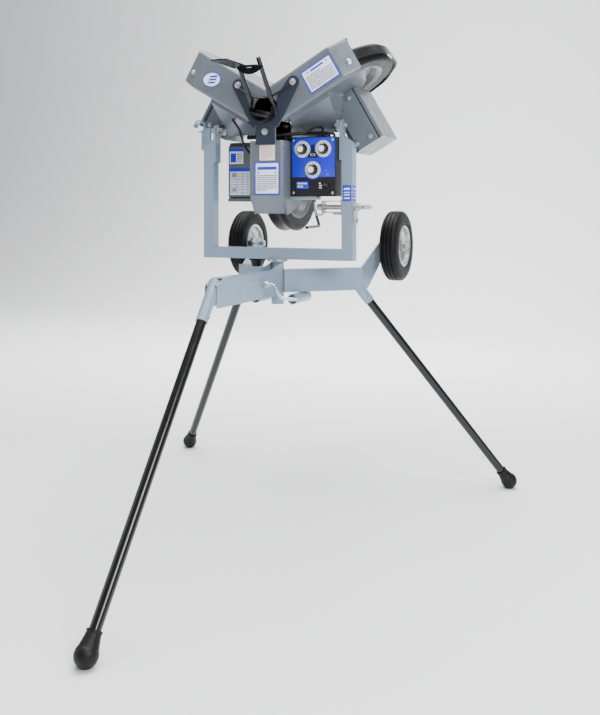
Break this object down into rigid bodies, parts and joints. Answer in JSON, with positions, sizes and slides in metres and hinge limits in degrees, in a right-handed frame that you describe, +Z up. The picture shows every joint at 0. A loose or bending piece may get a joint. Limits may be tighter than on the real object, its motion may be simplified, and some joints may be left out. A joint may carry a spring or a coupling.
{
  "type": "baseball pitching machine",
  "caption": "Wheel-driven ball pitching machine: throwing head with sloping feed rods in a tilting square yoke that swivels on a tripod base with transport wheels.",
  "frame": {"origin": "middle of the footprint, on the ground the three feet stand on", "axes": "+Z up, +Y the throwing direction, +X to the operator's right"},
  "size_m": [1.41, 1.6699, 1.5785],
  "materials": {
    "grey_paint": "satin blue-grey paint",
    "casting_grey": "cast, painted light grey",
    "slate_paint": "dark slate paint",
    "black_paint": "gloss black paint",
    "zinc": "zinc plated",
    "bright": "chrome plated",
    "steel": "dark steel",
    "tyre": "moulded rubber",
    "rubber": "matt black",
    "box_plastic": "black, fine grain",
    "panel_blue": "printed blue and black",
    "knob_plastic": "black"
  },
  "bodies": {
    "base": {"hub_post": "grey_paint", "front_arm": "grey_paint", "right_arm": "grey_paint", "left_arm": "grey_paint", "axle_bracket_right": "grey_paint", "axle_bracket_left": "grey_paint", "axles": "zinc", "storage_tubes": "grey_paint", "leg_sockets": "grey_paint", "leg_front": "black_paint", "leg_right": "black_paint", "leg_left": "black_paint", "rubber_feet": "rubber"},
    "lock_crank": {"lock_crank": "bright"},
    "transport_wheel_right": {"transport_tyre_right": "tyre", "transport_rim_right": "zinc"},
    "transport_wheel_left": {"transport_tyre_left": "tyre", "transport_rim_left": "zinc"},
    "snap_button_front": {"snap_button_front": "zinc"},
    "snap_button_right": {"snap_button_right": "zinc"},
    "snap_button_left": {"snap_button_left": "zinc"},
    "yoke": {"yoke_rail": "grey_paint", "yoke_upright_right": "grey_paint", "yoke_upright_left": "grey_paint", "yoke_ears": "grey_paint", "swivel_shaft": "zinc", "swivel_bumper": "rubber", "adjuster_bracket": "zinc", "adjuster_plate": "zinc"},
    "adjuster_handle": {"adjuster_handle": "zinc"},
    "head": {"wheel_housing_lower": "casting_grey", "wheel_housing_upper_right": "casting_grey", "wheel_housing_upper_left": "casting_grey", "motor_housing_lower": "casting_grey", "motor_housing_upper_right": "casting_grey", "motor_housing_upper_left": "casting_grey", "motors": "steel", "upper_guards": "black_paint", "lower_guard": "black_paint", "rear_plate": "slate_paint", "front_plate": "casting_grey", "feed_trough": "black_paint", "feed_frame": "black_paint", "feed_plate": "black_paint", "ball_keeper": "black_paint", "head_bolts": "zinc", "pivot_brackets": "zinc", "control_box": "box_plastic", "control_panel": "panel_blue", "motor_cables": "rubber"},
    "speed_knob_left": {"speed_knob_left": "knob_plastic"},
    "speed_knob_right": {"speed_knob_right": "knob_plastic"},
    "speed_knob_lower": {"speed_knob_lower": "knob_plastic"},
    "rocker_switch": {"rocker_switch": "knob_plastic"},
    "throw_wheel_lower": {"throw_tyre_lower": "tyre", "throw_hub_lower": "casting_grey"},
    "throw_wheel_upper_right": {"throw_tyre_upper_right": "tyre", "throw_hub_upper_right": "casting_grey"},
    "throw_wheel_upper_left": {"throw_tyre_upper_left": "tyre", "throw_hub_upper_left": "casting_grey"}
  },
  "joints": [
    {"name": "yoke_swivel", "type": "hinge", "parent": "base", "child": "yoke", "pos_m": [0, 0.234, 0.861], "axis": [0, 0, 1], "range_deg": [-50, 50]},
    {"name": "head_tilt", "type": "hinge", "parent": "yoke", "child": "head", "pos_m": [0, 0.234, 1.304], "axis": [1, 0, 0], "range_deg": [-10, 35]},
    {"name": "throw_spin_lower", "type": "hinge", "parent": "head", "child": "throw_wheel_lower", "pos_m": [0, 0.347, 1.138], "axis": [1, 0, 0], "continuous": true},
    {"name": "throw_spin_upper_right", "type": "hinge", "parent": "head", "child": "throw_wheel_upper_right", "pos_m": [0.18706, 0.347, 1.462], "axis": [0.5, 0, -0.866], "continuous": true},
    {"name": "throw_spin_upper_left", "type": "hinge", "parent": "head", "child": "throw_wheel_upper_left", "pos_m": [-0.18706, 0.347, 1.462], "axis": [0.5, 0, 0.866], "continuous": true},
    {"name": "transport_spin_right", "type": "hinge", "parent": "base", "child": "transport_wheel_right", "pos_m": [0.302, 0.621, 0.894], "axis": [1, 0, 0], "continuous": true},
    {"name": "transport_spin_left", "type": "hinge", "parent": "base", "child": "transport_wheel_left", "pos_m": [-0.302, 0.621, 0.894], "axis": [1, 0, 0], "continuous": true},
    {"name": "lock_crank_turn", "type": "hinge", "parent": "base", "child": "lock_crank", "pos_m": [0.03, 0.0745, 0.79], "axis": [1, 0, 0], "continuous": true},
    {"name": "adjuster_turn", "type": "hinge", "parent": "yoke", "child": "adjuster_handle", "pos_m": [0.3, 0.234, 1.036], "axis": [1, 0, 0], "continuous": true},
    {"name": "knob_turn_left", "type": "hinge", "parent": "head", "child": "speed_knob_left", "pos_m": [0.107, 0.189, 1.226], "axis": [0, 1, 0], "range_deg": [0, 270]},
    {"name": "knob_turn_right", "type": "hinge", "parent": "head", "child": "speed_knob_right", "pos_m": [0.181, 0.189, 1.226], "axis": [0, 1, 0], "range_deg": [0, 270]},
    {"name": "knob_turn_lower", "type": "hinge", "parent": "head", "child": "speed_knob_lower", "pos_m": [0.144, 0.189, 1.158], "axis": [0, 1, 0], "range_deg": [0, 270]},
    {"name": "rocker_turn", "type": "hinge", "parent": "head", "child": "rocker_switch", "pos_m": [0.189, 0.199, 1.104], "axis": [1, 0, 0], "range_deg": [-16, 0]},
    {"name": "button_front", "type": "slide", "parent": "base", "child": "snap_button_front", "axis": [-1, 0, 0], "range_m": [0, 0.008], "stiffness_N_per_m": 900, "springref_m": -0.001},
    {"name": "button_right", "type": "slide", "parent": "base", "child": "snap_button_right", "axis": [-0.6416, 0.767, 0], "range_m": [0, 0.008], "stiffness_N_per_m": 900, "springref_m": -0.001},
    {"name": "button_left", "type": "slide", "parent": "base", "child": "snap_button_left", "axis": [-0.6416, -0.767, 0], "range_m": [0, 0.008], "stiffness_N_per_m": 900, "springref_m": -0.001}
  ]
}
